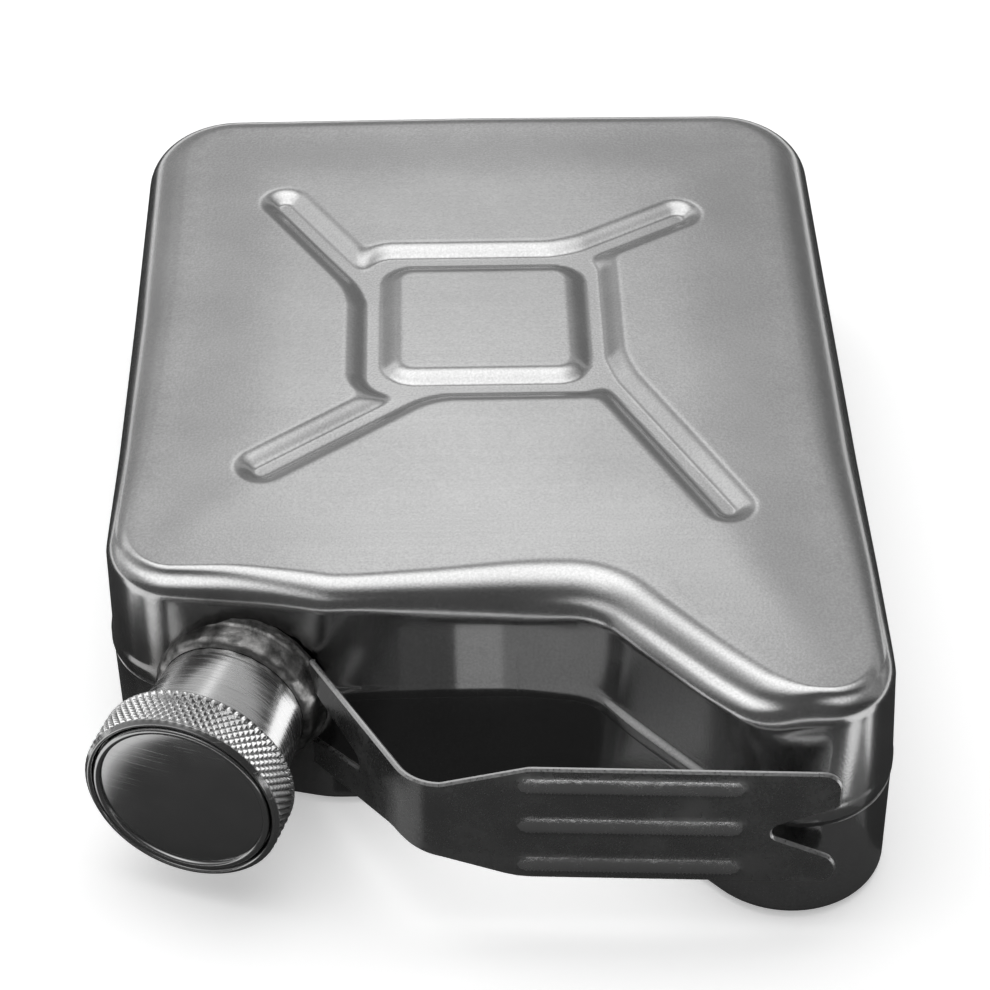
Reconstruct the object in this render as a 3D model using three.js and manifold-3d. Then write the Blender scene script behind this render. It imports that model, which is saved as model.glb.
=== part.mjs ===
// Hip flask in the shape of a small jerry can, lying on its back, in millimetres with +Z up.
// X runs across the flask, +Y towards its base, +Z out of its front panel.
// The origin is the middle of the pressed cross on the back panel, so z = 0 is the rest face.
import * as THREE from "three";
import { mergeVertices } from "three/addons/utils/BufferGeometryUtils.js";
import Module from "manifold-3d";

const wasm = await Module();
wasm.setup();

const degrees = Math.PI / 180;

// Body, two pressed shells of sheet steel
const bodyWidth = 74;
const bodyLength = 102.9; // base wall to the tip of the nose beside the handle
const bodyThickness = 25.8;
const sheet = 0.7;
const edgeRadius = 4; // between the panels and the side wall
const crossToBase = 41.4; // middle of the pressed cross to the base wall
const baseCornerRadius = 10;
const shoulderCornerRadius = 8.5;
const shoulderWidth = 20.9; // the wall that carries the neck, measured across X
const shoulderSlope = 14 * degrees;
const shoulderBendRadius = 10;
const recessDepth = 16.9; // nose tip to the wall behind the handle
const recessCornerRadius = 7;
const slantAngle = 47 * degrees; // wall between the recess and the nose
const noseRadius = 9.25;

// Lap seam halfway up the side wall: the back shell tucks into a lip of the front shell
const lipHeight = 1.2;
const lipProud = 0.45;
const lipFlare = 0.5;
const seamGap = 0.3;
const tuckDepth = 1; // how far the back shell's rim reaches up inside the lip
const joggleRise = 0.6;

// Cross pressed into both panels: a square ring round an island, with four arms
const crossDepth = 1.6;
const crossFloor = 2; // width of the channel's floor
const crossSlope = 1.9; // width of each sloping side
const ringHalfWidth = 11.5; // to the middle of the channel, across X
const ringHalfLength = 11.1;
const ringCornerRadius = 3.2;
const armTips = {
  baseLeft: [-21.2, 21.7],
  baseRight: [21.2, 18.6],
  neckLeft: [-22.3, -23.8],
  neckRight: [22.8, -30.8],
};
const armRoots = { baseLeft: 5.7, baseRight: 9.3, neckLeft: -6.3, neckRight: -8.2 }; // along the ring's side

// Neck, a turned tube welded into the shoulder
const neckTilt = 18.7 * degrees; // away from the flask's long axis, to the left
const neckAcross = 12.6; // left wall to the neck's axis, measured on the shoulder
const neckRadius = 7.15;
const neckTopRadius = 8; // it widens towards the cap
const neckBore = 5.2;
const neckHeight = 10.1; // shoulder wall to the step under the cap
const pilotWall = 0.9; // wall of the reduced end that goes through the shells
const pilotReach = 2.2; // how far that end stands inside the shells
const collarWidth = 1.05; // welded collar round the foot of the neck
const collarHeight = 2;
const collarFit = 0.1; // clearance between the collar and the neck

// Screw thread of the mouth and the cap, right-handed
const threadPitch = 1.25;
const threadLength = 2.55;
const threadDepth = 0.55;
const threadFoot = 0.6;
const threadCrest = 0.28;
const threadInset = 0.1; // of the thread's crest below the neck's own surface
const threadClearance = 0.2;

// Cap: a knurled ring, a domed disc let into its end, and a seal under the disc
const capRadius = 9.65;
const capLength = 4.7;
const capGap = 0.3; // between the cap's rim and the neck's step
const capChamfer = 0.5;
const discRadius = 8.2;
const discSet = 0.25; // of the disc's edge below the ring's end
const discDome = 0.4;
const discThickness = 0.85;
const sealThickness = 1.1;
const capFit = 0.1; // clearance between the pieces of the cap

// Handle, a steel strap with forked ends
const strapThickness = 0.9;
const strapLift = 0.65; // of the strap's middle above the seam
const gripWidth = 13.9;
const bendTop = 4.8; // the narrower bend's upper edge above the strap's middle
const legLow = 3.3; // the lower edge below that middle, at the leg's end of the bend
const gripLow = 4.5; // and at the grip's end
const bendRadius = 2.8; // to the strap's middle
const bendAcross = 8.2; // corner of the strap, from the place where the shoulder meets the recess
const bendAbove = 1; // and above the nose tip
const legAngle = 61 * degrees;
const gripFlare = 8; // bend's end to the full width
const gripLowFlare = 7; // the same along the lower edge
const gripReach = 3.6; // strap's end past the lowest point of the nose
const forkDepth = 7.5;
const forkOpening = 6.6;
const forkDrop = 0.5; // of the fork below the strap's middle
const forkCornerRadius = 1.9;
const legForkSpan = 13;
const legDrop = 1.9; // of the leg's root below the bend
const legForkOpening = 6.2;
const legForkDepth = 11;
const ribLength = 18.7;
const ribWidth = 1.6;
const ribHeight = 0.5;
const ribSpacing = 5;
const ribStart = 10.5; // from the bend's corner along the grip
const weldGap = 0.3; // between welded pieces

// Facets
const bodyArcStep = 11 * degrees;
const smallArcStep = 22.5 * degrees;
const filletSteps = 5;
const turnSteps = 36;
const bendSteps = 10;
const domeSteps = 4;
const sharpCorner = 0.02; // radius of a corner that is left sharp
const barRoundness = 0.98; // a little under a half circle, so that the corners of a bar's end stay apart
const mergeDistance = 1e-4;
const roundingRoom = 1e-6;

// Levels and places that follow from the sizes above
const halfWidth = bodyWidth / 2;
const noseEnd = crossToBase - bodyLength;
const recessWall = noseEnd + recessDepth;
const midHeight = bodyThickness / 2;
const lipBottom = midHeight - lipHeight / 2;
const lipTop = midHeight + lipHeight / 2;
const crossRun = crossSlope / crossDepth; // sideways run of the channel's sides for each mm of depth

// A solid for cutting and joining from a closed geometry
function solidOf(geometry) {
  const bare = geometry.clone();
  bare.deleteAttribute("normal");
  bare.deleteAttribute("uv");
  const merged = mergeVertices(bare, mergeDistance);
  return new wasm.Manifold(
    new wasm.Mesh({
      numProp: 3,
      vertProperties: merged.attributes.position.array,
      triVerts: new Uint32Array(merged.index.array),
    }),
  );
}

function geometryOf(solid) {
  const mesh = solid.getMesh();
  const geometry = new THREE.BufferGeometry();
  geometry.setAttribute("position", new THREE.BufferAttribute(mesh.vertProperties, 3));
  geometry.setIndex(new THREE.BufferAttribute(mesh.triVerts, 1));
  geometry.computeVertexNormals();
  return geometry;
}

// Points round a closed outline whose corners are rounded, grown outwards by an offset
function roundedOutline(corners, offset, arcStep) {
  const points = [];
  corners.forEach(({ at, radius }, index) => {
    const before = corners.at(index - 1).at;
    const after = corners[(index + 1) % corners.length].at;
    const arriving = at.clone().sub(before).normalize();
    const leaving = after.clone().sub(at).normalize();
    const turn = Math.atan2(arriving.cross(leaving), arriving.dot(leaving));
    const side = Math.sign(turn);
    const start = at.clone().addScaledVector(arriving, -radius * Math.tan(Math.abs(turn) / 2));
    const toCentre = new THREE.Vector2(-arriving.y, arriving.x).multiplyScalar(side * radius);
    const centre = start.add(toCentre);
    const firstAngle = arriving.angle() - (side * Math.PI) / 2;
    const steps = Math.max(1, Math.ceil(Math.abs(turn) / arcStep - roundingRoom));
    const reach = radius + side * offset;
    for (let step = 0; step <= steps; step++) {
      const angle = firstAngle + (turn * step) / steps;
      const heading = new THREE.Vector2(Math.cos(angle), Math.sin(angle));
      points.push(heading.multiplyScalar(reach).add(centre));
    }
  });
  return points;
}

// A closed surface through rings with as many points each, with its first and last ring filled
function loft(rings, fill) {
  const count = rings[0].length;
  const indices = [];
  const last = (rings.length - 1) * count;
  fill.forEach(([a, b, c]) => indices.push(a, b, c, last + a, last + c, last + b));
  for (let ring = 0; ring + 1 < rings.length; ring++) {
    for (let i = 0; i < count; i++) {
      const here = ring * count + i;
      const next = ring * count + ((i + 1) % count);
      indices.push(here, here + count, next + count, here, next + count, next);
    }
  }
  const geometry = new THREE.BufferGeometry().setFromPoints(rings.flat());
  geometry.setIndex(indices);
  return geometry;
}

// Rings of one outline at the heights and offsets of a profile, from the top down
function stack(corners, profile, arcStep) {
  const rings = profile.map(({ offset, z }) =>
    roundedOutline(corners, offset, arcStep).map((point) => new THREE.Vector3(point.x, point.y, z)),
  );
  const flat = rings[0].map((point) => new THREE.Vector2(point.x, point.y));
  return loft(rings, THREE.ShapeUtils.triangulateShape(flat, []));
}

// The body's plan, anticlockwise from the base's right corner
const noseCentre = new THREE.Vector2(halfWidth - noseRadius, noseEnd + noseRadius);
const slantNormal = new THREE.Vector2(-Math.sin(slantAngle), -Math.cos(slantAngle));
const slantReach = noseCentre.dot(slantNormal) + noseRadius;
const shoulderMeetsRecess = new THREE.Vector2(shoulderWidth - halfWidth, recessWall);
const shoulderRise = shoulderWidth * Math.tan(shoulderSlope);
const slantMeetsRecess = new THREE.Vector2(
  (slantReach - slantNormal.y * recessWall) / slantNormal.x,
  recessWall,
);
const slantMeetsSide = new THREE.Vector2(
  halfWidth,
  (slantReach - slantNormal.x * halfWidth) / slantNormal.y,
);
const bodyCorners = [
  { at: new THREE.Vector2(halfWidth, crossToBase), radius: baseCornerRadius },
  { at: new THREE.Vector2(-halfWidth, crossToBase), radius: baseCornerRadius },
  { at: new THREE.Vector2(-halfWidth, recessWall + shoulderRise), radius: shoulderCornerRadius },
  { at: shoulderMeetsRecess, radius: shoulderBendRadius },
  { at: slantMeetsRecess, radius: recessCornerRadius },
  { at: slantMeetsSide, radius: noseRadius },
];

// Quarter round from a panel down to the side wall, for a panel at a height
function edgeProfile(panelHeight, wallOffset, radius) {
  const profile = [];
  for (let step = 0; step <= filletSteps; step++) {
    const angle = ((Math.PI / 2) * step) / filletSteps;
    profile.push({
      offset: wallOffset - radius * (1 - Math.sin(angle)),
      z: panelHeight - radius * (1 - Math.cos(angle)),
    });
  }
  return profile;
}

// A profile as it is on the front panel, and the same profile on the back panel
function onFront(profile) {
  return profile;
}

function onBack(profile) {
  return profile.map(({ offset, z }) => ({ offset, z: bodyThickness - z })).reverse();
}

function frontShellProfile() {
  return [
    ...edgeProfile(bodyThickness, 0, edgeRadius),
    { offset: 0, z: lipTop + lipFlare },
    { offset: lipProud, z: lipTop },
    { offset: lipProud, z: lipBottom },
    { offset: lipProud - sheet, z: lipBottom },
    { offset: lipProud - sheet, z: lipTop },
    { offset: -sheet, z: lipTop + lipFlare },
    ...edgeProfile(bodyThickness - sheet, -sheet, edgeRadius - sheet).reverse(),
  ];
}

function backShellProfile() {
  const rim = lipProud - sheet - seamGap;
  const rimTop = lipBottom + tuckDepth;
  return [
    ...onBack(edgeProfile(bodyThickness - sheet, -sheet, edgeRadius - sheet)).reverse(),
    { offset: -sheet, z: lipBottom - seamGap - joggleRise },
    { offset: rim - sheet, z: lipBottom - seamGap },
    { offset: rim - sheet, z: rimTop },
    { offset: rim, z: rimTop },
    { offset: rim, z: lipBottom - seamGap / 2 },
    { offset: 0, z: lipBottom - seamGap / 2 - joggleRise },
    ...onBack(edgeProfile(bodyThickness, 0, edgeRadius)),
  ];
}

// The closed outer form of both shells, grown by a gap
function bodyForm(gap) {
  const edge = edgeProfile(bodyThickness + gap, gap, edgeRadius + gap);
  const profile = [
    ...edge,
    { offset: gap, z: lipTop + lipFlare + gap },
    { offset: lipProud + gap, z: lipTop + gap },
    { offset: lipProud + gap, z: lipBottom - gap },
    { offset: gap, z: lipBottom - gap },
    ...onBack(edge),
  ];
  return solidOf(stack(bodyCorners, profile, bodyArcStep));
}

function rectangleCorners(halfX, halfY, radius) {
  const signs = [[1, 1], [-1, 1], [-1, -1], [1, -1]];
  return signs.map(([x, y]) => ({ at: new THREE.Vector2(x * halfX, y * halfY), radius }));
}

// Corners of a bar with round ends between two points
function barCorners(from, to, halfBreadth) {
  const along = to.clone().sub(from).normalize().multiplyScalar(halfBreadth);
  const across = new THREE.Vector2(-along.y, along.x);
  const end = to.clone().add(along);
  const start = from.clone().sub(along);
  const places = [
    end.clone().sub(across),
    end.clone().add(across),
    start.clone().add(across),
    start.clone().sub(across),
  ];
  return places.map((at) => ({ at, radius: halfBreadth * barRoundness }));
}

// The pressed channel as a solid with a level floor and sloping sides, on the panel that facing gives
function crossChannel(floorLevel, floorGrowth, topLevel, facing) {
  const rise = topLevel - floorLevel;
  const halfFloor = crossFloor / 2;
  const opening = facing([
    { offset: floorGrowth + crossRun * rise, z: topLevel },
    { offset: floorGrowth, z: floorLevel },
  ]);
  const ringOutside = rectangleCorners(
    ringHalfWidth + halfFloor,
    ringHalfLength + halfFloor,
    ringCornerRadius,
  );
  const island = rectangleCorners(
    ringHalfWidth - halfFloor,
    ringHalfLength - halfFloor,
    ringCornerRadius,
  );
  const arms = [
    [new THREE.Vector2(-ringHalfWidth, armRoots.baseLeft), armTips.baseLeft],
    [new THREE.Vector2(armRoots.baseRight, ringHalfLength), armTips.baseRight],
    [new THREE.Vector2(armRoots.neckLeft, -ringHalfLength), armTips.neckLeft],
    [new THREE.Vector2(ringHalfWidth, armRoots.neckRight), armTips.neckRight],
  ];
  let channel = solidOf(stack(ringOutside, opening, smallArcStep));
  for (const [root, tip] of arms) {
    const corners = barCorners(root, new THREE.Vector2(...tip), halfFloor);
    channel = channel.add(solidOf(stack(corners, opening, smallArcStep)));
  }
  const islandProfile = opening.map(({ offset, z }) => ({ offset: -offset, z }));
  return channel.subtract(solidOf(stack(island, islandProfile, smallArcStep)));
}

// Presses the cross into a shell, with the sheet kept at its thickness below
function withCross(shell, facing) {
  const slopeAngle = Math.atan2(crossDepth, crossSlope);
  const floorLevel = bodyThickness - crossDepth;
  const cut = crossChannel(floorLevel, 0, bodyThickness + sheet, facing);
  const sheetGrowth = sheet * Math.tan(slopeAngle / 2);
  const underside = crossChannel(floorLevel - sheet, sheetGrowth, bodyThickness - sheet / 2, facing);
  return shell.add(underside).subtract(cut);
}

const neckFoot = new THREE.Vector3(
  -halfWidth + neckAcross,
  recessWall + (shoulderWidth - neckAcross) * Math.tan(shoulderSlope),
  midHeight,
);

// The neck's own frame: Y along its axis and out of the shoulder
const neckPlace = new THREE.Matrix4()
  .makeRotationZ(Math.PI - neckTilt)
  .setPosition(neckFoot);

// A turned solid on the neck's axis from its radius and height pairs, anticlockwise
function turned(pairs) {
  const profile = [...pairs, pairs[0]].map(([radius, height]) => new THREE.Vector2(radius, height));
  return new THREE.LatheGeometry(profile, turnSteps);
}

function onNeck(geometry) {
  return geometry.clone().applyMatrix4(neckPlace);
}

const pilotRadius = neckBore + pilotWall;
const wallRoom = 2 * edgeRadius; // more than the shoulder wall falls away across the neck
const threadOutside = neckRadius - threadInset;
const threadRoot = threadOutside - threadDepth;
const mouthHeight = neckHeight + threadLength;

// One ridge that winds up a cylinder, facing out from it or into a bore
function threadRidge(footRadius, crestRadius, fromHeight, toHeight, firstAngle) {
  const sunk = Math.sign(footRadius - crestRadius) * threadClearance;
  const winds = (toHeight - fromHeight - threadFoot) / threadPitch;
  const steps = Math.ceil(winds * turnSteps);
  const rings = [];
  for (let step = 0; step <= steps; step++) {
    const wind = (winds * step) / steps;
    const angle = firstAngle + wind * 2 * Math.PI;
    const height = fromHeight + threadFoot / 2 + wind * threadPitch;
    const section = [
      [footRadius + sunk, -threadFoot / 2],
      [crestRadius, -threadCrest / 2],
      [crestRadius, threadCrest / 2],
      [footRadius + sunk, threadFoot / 2],
    ];
    const across = new THREE.Vector3(Math.sin(angle), 0, Math.cos(angle));
    rings.push(
      section.map(([radius, rise]) => across.clone().multiplyScalar(radius).setY(height + rise)),
    );
  }
  const facing = crestRadius > footRadius ? rings : rings.reverse();
  return loft(facing, [[0, 1, 2], [0, 2, 3]]);
}

function neckSpout() {
  const barrel = turned([
    [neckBore, -wallRoom],
    [neckRadius, -wallRoom],
    [neckRadius, collarHeight],
    [neckTopRadius, neckHeight],
    [threadRoot, neckHeight],
    [threadRoot, mouthHeight],
    [neckBore, mouthHeight],
  ]);
  const pilot = turned([
    [neckBore, -pilotReach],
    [pilotRadius, -pilotReach],
    [pilotRadius, collarHeight + weldGap],
    [neckBore, collarHeight + weldGap],
  ]);
  const ridge = threadRidge(threadRoot, threadOutside, neckHeight, mouthHeight, 0);
  return solidOf(onNeck(barrel))
    .subtract(bodyForm(weldGap))
    .add(solidOf(onNeck(pilot)))
    .add(solidOf(onNeck(ridge)));
}

function neckCollar() {
  const ring = turned([
    [neckRadius + collarFit, -wallRoom],
    [neckRadius + collarWidth, -wallRoom],
    [neckRadius + collarWidth, collarHeight / 2],
    [neckRadius + collarWidth / 2, collarHeight],
    [neckRadius + collarFit, collarHeight],
  ]);
  return solidOf(onNeck(ring)).subtract(bodyForm(weldGap));
}

// Takes a round hole along the neck's axis out of a solid, through the shoulder wall
function withNeckHole(solid, radius) {
  const hole = new THREE.CylinderGeometry(radius, radius, 2 * wallRoom, turnSteps);
  return solid.subtract(solidOf(onNeck(hole)));
}

function frontShell() {
  const pan = solidOf(stack(bodyCorners, frontShellProfile(), bodyArcStep));
  return withNeckHole(withCross(pan, onFront), pilotRadius + weldGap);
}

function backShell() {
  const pan = solidOf(stack(bodyCorners, backShellProfile(), bodyArcStep));
  return withNeckHole(withCross(pan, onBack), pilotRadius + weldGap);
}

// Cap pieces, in the neck's frame
const capFoot = neckHeight + capGap;
const capEnd = capFoot + capLength;
const ringBore = threadOutside + threadClearance;
const discSeat = capEnd - discSet - discThickness;

function capRing() {
  const body = turned([
    [ringBore, capFoot],
    [capRadius - capChamfer / 2, capFoot],
    [capRadius, capFoot + capChamfer / 2],
    [capRadius, capEnd - capChamfer],
    [capRadius - capChamfer, capEnd],
    [discRadius, capEnd],
    [discRadius, discSeat],
    [ringBore, discSeat],
  ]);
  // half a turn from the mouth's ridge at the same height, so that the two wind between each other
  const ridgeStart = Math.PI + ((capFoot - neckHeight) / threadPitch) * 2 * Math.PI;
  const ridgeCrest = threadRoot + threadClearance;
  const ridge = threadRidge(ringBore, ridgeCrest, capFoot, mouthHeight - capFit, ridgeStart);
  return solidOf(body).add(solidOf(ridge));
}

function capDisc() {
  const edge = discRadius - capFit;
  const foot = discSeat + capFit;
  const rim = foot + discThickness;
  const dome = [];
  for (let step = 0; step <= domeSteps; step++) {
    const radius = edge * (1 - step / domeSteps);
    dome.push(new THREE.Vector2(radius, rim + discDome * (1 - (radius / edge) ** 2)));
  }
  const profile = [new THREE.Vector2(0, foot), new THREE.Vector2(edge, foot), ...dome];
  return solidOf(new THREE.LatheGeometry(profile, turnSteps));
}

function capSeal() {
  const top = discSeat;
  return solidOf(
    turned([
      [neckBore, top - sealThickness],
      [ringBore - capFit, top - sealThickness],
      [ringBore - capFit, top],
      [neckBore, top],
    ]),
  );
}

// Handle strap: a leg from the shoulder, a bend, and a grip that ends on the nose
const bendCorner = new THREE.Vector2(shoulderMeetsRecess.x + bendAcross, noseEnd + bendAbove);
const legHeading = -legAngle;
const noseReach = noseRadius + weldGap + strapThickness / 2;
const toNose = noseCentre.clone().sub(bendCorner);
const gripHeading = Math.atan2(toNose.y, toNose.x) - Math.asin(noseReach / toNose.length());
const gripToNose = Math.sqrt(toNose.lengthSq() - noseReach ** 2);
const bendTurn = gripHeading - legHeading;
const bendTangent = bendRadius * Math.tan(bendTurn / 2);
const strapMiddle = midHeight + strapLift;

// A flat plate standing on edge: its outline runs from the bend along a heading and up,
// and its thickness is centred on that line, shifted outwards
function standingPlate(outline, heading, thickness, shift) {
  const shape = new THREE.Shape(outline);
  const geometry = new THREE.ExtrudeGeometry(shape, { depth: thickness, bevelEnabled: false });
  const along = new THREE.Vector3(Math.cos(heading), Math.sin(heading), 0);
  const up = new THREE.Vector3(0, 0, 1);
  const out = new THREE.Vector3().crossVectors(along, up);
  const origin = new THREE.Vector3(bendCorner.x, bendCorner.y, strapMiddle);
  const place = new THREE.Matrix4().makeBasis(along, up, out);
  place.setPosition(origin.addScaledVector(out, shift - thickness / 2));
  return solidOf(geometry.applyMatrix4(place));
}

function outlineOf(points) {
  const corners = points.map(([x, y, radius]) => ({ at: new THREE.Vector2(x, y), radius }));
  return roundedOutline(corners, 0, smallArcStep);
}

function gripPlate() {
  const half = gripWidth / 2;
  const start = bendTangent;
  const end = gripToNose + gripReach;
  const notch = end - forkDepth;
  const opening = forkOpening / 2;
  const outline = outlineOf([
    [start, -gripLow, sharpCorner],
    [start + gripLowFlare, -half, forkCornerRadius],
    [end, -half, forkCornerRadius],
    [end, -forkDrop - opening, forkCornerRadius / 2],
    [notch, -forkDrop, forkCornerRadius / 2],
    [end, -forkDrop + opening, forkCornerRadius / 2],
    [end, half, forkCornerRadius],
    [start + gripFlare, half, forkCornerRadius],
    [start, bendTop, sharpCorner],
  ]);
  let plate = standingPlate(outline, gripHeading, strapThickness, 0);
  for (const row of [-1, 0, 1]) {
    const from = new THREE.Vector2(ribStart, row * ribSpacing);
    const to = new THREE.Vector2(ribStart + ribLength, row * ribSpacing);
    const rib = roundedOutline(barCorners(from, to, ribWidth / 2), 0, smallArcStep);
    const groove = roundedOutline(barCorners(from, to, ribWidth / 4), 0, smallArcStep);
    plate = plate
      .add(standingPlate(rib, gripHeading, strapThickness, ribHeight))
      .subtract(standingPlate(groove, gripHeading, 2 * ribHeight, -strapThickness / 2));
  }
  return plate;
}

// The bend's lower edge falls from the leg to the grip
function bendPlate() {
  const side = new THREE.Vector2(-Math.sin(legHeading), Math.cos(legHeading));
  const centre = bendCorner
    .clone()
    .add(new THREE.Vector2(Math.cos(legHeading), Math.sin(legHeading)).multiplyScalar(-bendTangent))
    .addScaledVector(side, bendRadius);
  const rings = [];
  for (let step = 0; step <= bendSteps; step++) {
    const share = step / bendSteps;
    const angle = legHeading - Math.PI / 2 + bendTurn * share;
    const away = new THREE.Vector2(Math.cos(angle), Math.sin(angle));
    const inner = centre.clone().addScaledVector(away, bendRadius - strapThickness / 2);
    const outer = centre.clone().addScaledVector(away, bendRadius + strapThickness / 2);
    const low = strapMiddle - THREE.MathUtils.lerp(legLow, gripLow, share);
    const high = strapMiddle + bendTop;
    rings.push([
      new THREE.Vector3(outer.x, outer.y, low),
      new THREE.Vector3(outer.x, outer.y, high),
      new THREE.Vector3(inner.x, inner.y, high),
      new THREE.Vector3(inner.x, inner.y, low),
    ]);
  }
  return solidOf(loft(rings, [[0, 1, 2], [0, 2, 3]]));
}

function legPlate() {
  const reach = (recessDepth + shoulderRise) / Math.sin(legAngle); // ends in the body, cut off at its wall
  const wallDistance = (recessWall - bendCorner.y) / Math.sin(legAngle);
  const notch = wallDistance - legForkDepth;
  const shareAt = (distance) => (distance - bendTangent) / (wallDistance - bendTangent);
  const half = legForkSpan / 2;
  const low = THREE.MathUtils.lerp(-legLow, -legDrop - half, shareAt(reach));
  const high = THREE.MathUtils.lerp(bendTop, -legDrop + half, shareAt(reach));
  const opening = ((legForkOpening / 2) * (reach - notch)) / legForkDepth;
  const rootMiddle = (low + high) / 2;
  const outline = outlineOf([
    [bendTangent, -legLow, sharpCorner],
    [reach, low, sharpCorner],
    [reach, rootMiddle - opening, sharpCorner],
    [notch, -legDrop * shareAt(notch), forkCornerRadius / 2],
    [reach, rootMiddle + opening, sharpCorner],
    [reach, high, sharpCorner],
    [bendTangent, bendTop, sharpCorner],
  ]);
  return standingPlate(outline, legHeading + Math.PI, strapThickness, 0);
}

// The strap stops short of the walls it is welded to, and of the collar beside its root
function handleStrap() {
  const strap = legPlate().add(bendPlate()).add(gripPlate());
  return withNeckHole(strap.subtract(bodyForm(weldGap)), neckRadius + collarWidth + weldGap);
}

// Finishes
function steel(color, roughness) {
  return new THREE.MeshStandardMaterial({ color, roughness, metalness: 1 });
}

function sealRubber() {
  return new THREE.MeshStandardMaterial({ color: 0x2b2b2d, roughness: 0.8, metalness: 0 });
}

function named(name, solid, material) {
  const mesh = new THREE.Mesh(geometryOf(solid), material);
  mesh.name = name;
  return mesh;
}

const flask = new THREE.Group();
flask.add(named("front_shell", frontShell(), steel(0xb4b5b6, 0.38)));
flask.add(named("back_shell", backShell(), steel(0xb4b5b6, 0.38)));
flask.add(named("neck_spout", neckSpout(), steel(0xa9aaac, 0.3)));
flask.add(named("neck_collar", neckCollar(), steel(0x8f9092, 0.45)));
flask.add(named("handle_strap", handleStrap(), steel(0x97989a, 0.22)));

const cap = new THREE.Group();
cap.applyMatrix4(neckPlace);
cap.add(named("cap_ring", capRing(), steel(0xb9babc, 0.25)));
cap.add(named("cap_disc", capDisc(), steel(0x9a9b9d, 0.12)));
cap.add(named("cap_seal", capSeal(), sealRubber()));
flask.add(cap);

export default flask;
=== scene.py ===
from functools import partial
from math import asin, atan2, ceil, copysign, cos, hypot, pi, radians, sin, sqrt, tan

import bmesh
import bpy
import numpy as np
from mathutils import Matrix, Vector, noise
from mathutils.geometry import delaunay_2d_cdt


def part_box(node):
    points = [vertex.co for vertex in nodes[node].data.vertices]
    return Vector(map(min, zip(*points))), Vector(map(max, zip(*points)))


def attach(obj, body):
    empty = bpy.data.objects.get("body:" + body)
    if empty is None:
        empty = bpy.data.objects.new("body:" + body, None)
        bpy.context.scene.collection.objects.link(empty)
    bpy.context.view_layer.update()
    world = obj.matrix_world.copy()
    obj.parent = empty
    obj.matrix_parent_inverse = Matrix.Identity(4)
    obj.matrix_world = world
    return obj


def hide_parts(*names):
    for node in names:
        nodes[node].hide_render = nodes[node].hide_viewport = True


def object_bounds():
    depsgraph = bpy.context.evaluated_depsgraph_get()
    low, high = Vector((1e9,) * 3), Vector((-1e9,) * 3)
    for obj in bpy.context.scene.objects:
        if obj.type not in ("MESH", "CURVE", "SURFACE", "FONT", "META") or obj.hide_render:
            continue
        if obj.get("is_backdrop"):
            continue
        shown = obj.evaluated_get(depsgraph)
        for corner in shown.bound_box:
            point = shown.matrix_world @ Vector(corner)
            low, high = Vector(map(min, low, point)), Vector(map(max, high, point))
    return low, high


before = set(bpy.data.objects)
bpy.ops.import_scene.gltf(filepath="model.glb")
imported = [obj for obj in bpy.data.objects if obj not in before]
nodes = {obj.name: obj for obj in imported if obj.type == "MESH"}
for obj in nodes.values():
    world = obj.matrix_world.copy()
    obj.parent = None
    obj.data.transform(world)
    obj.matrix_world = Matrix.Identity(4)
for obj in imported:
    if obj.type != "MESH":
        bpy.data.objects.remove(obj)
cadLow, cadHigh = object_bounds()
mm = 0.001
print("frame loaded:", sorted(nodes))


# outlines and meshes, in millimetres until a mesh is made

def roundedOutline(corners, offset=0, arcStep=radians(6), sideStep=1e9):
    # corners are x, y and radius; arcs and sides are cut into steps
    places, count = [Vector(corner[:2]) for corner in corners], len(corners)
    arcs, tangents = [], []
    for index, (at, (_, _, radius)) in enumerate(zip(places, corners)):
        arriving = (at - places[index - 1]).normalized()
        leaving = (places[(index + 1) % count] - at).normalized()
        turn = atan2(arriving.cross(leaving), arriving.dot(leaving))
        side = copysign(1, turn)
        tangent = radius * tan(abs(turn) / 2)
        centre = at - arriving * tangent + Vector((-arriving.y, arriving.x)) * side * radius
        firstAngle = atan2(arriving.y, arriving.x) - side * pi / 2
        steps = max(1, ceil(abs(turn) / arcStep - 1e-6))
        angles = [firstAngle + turn * step / steps for step in range(steps + 1)]
        reach = radius + side * offset
        arcs.append([centre + Vector((cos(a), sin(a))) * reach for a in angles])
        tangents.append(tangent)
    points = []
    for index, arc in enumerate(arcs):
        after = (index + 1) % count
        span = (places[after] - places[index]).length - tangents[index] - tangents[after]
        parts = max(1, ceil(span / sideStep))
        points += arc
        points += [arc[-1].lerp(arcs[after][0], part / parts) for part in range(1, parts)]
    return np.array([(p.x, p.y) for p in points])


def signedDistance(points, loop, batch=4000):
    # distance of points to a closed loop, negative inside it
    ends = np.roll(loop, -1, axis=0)
    edge = ends - loop
    lengths = np.maximum((edge ** 2).sum(1), 1e-12)
    result = np.empty(len(points))
    for first in range(0, len(points), batch):
        part = points[first:first + batch]
        rel = part[:, None, :] - loop[None]
        share = np.clip((rel * edge).sum(2) / lengths, 0, 1)
        away = np.sqrt(((rel - share[..., None] * edge) ** 2).sum(2)).min(1)
        x, y = part[:, :1], part[:, 1:]
        straddles = (loop[:, 1] > y) != (ends[:, 1] > y)
        rise = np.where(edge[:, 1] == 0, 1, edge[:, 1])
        left = x < edge[:, 0] * (y - loop[:, 1]) / rise + loop[:, 0]
        inside = (straddles & left).sum(1) % 2 == 1
        result[first:first + batch] = np.where(inside, -away, away)
    return result


def barDistance(points, start, end):
    start, along = np.array(start), np.array(end) - np.array(start)
    share = np.clip(((points - start) @ along) / (along @ along), 0, 1)
    return np.sqrt(((points - start - share[:, None] * along) ** 2).sum(1))


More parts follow.
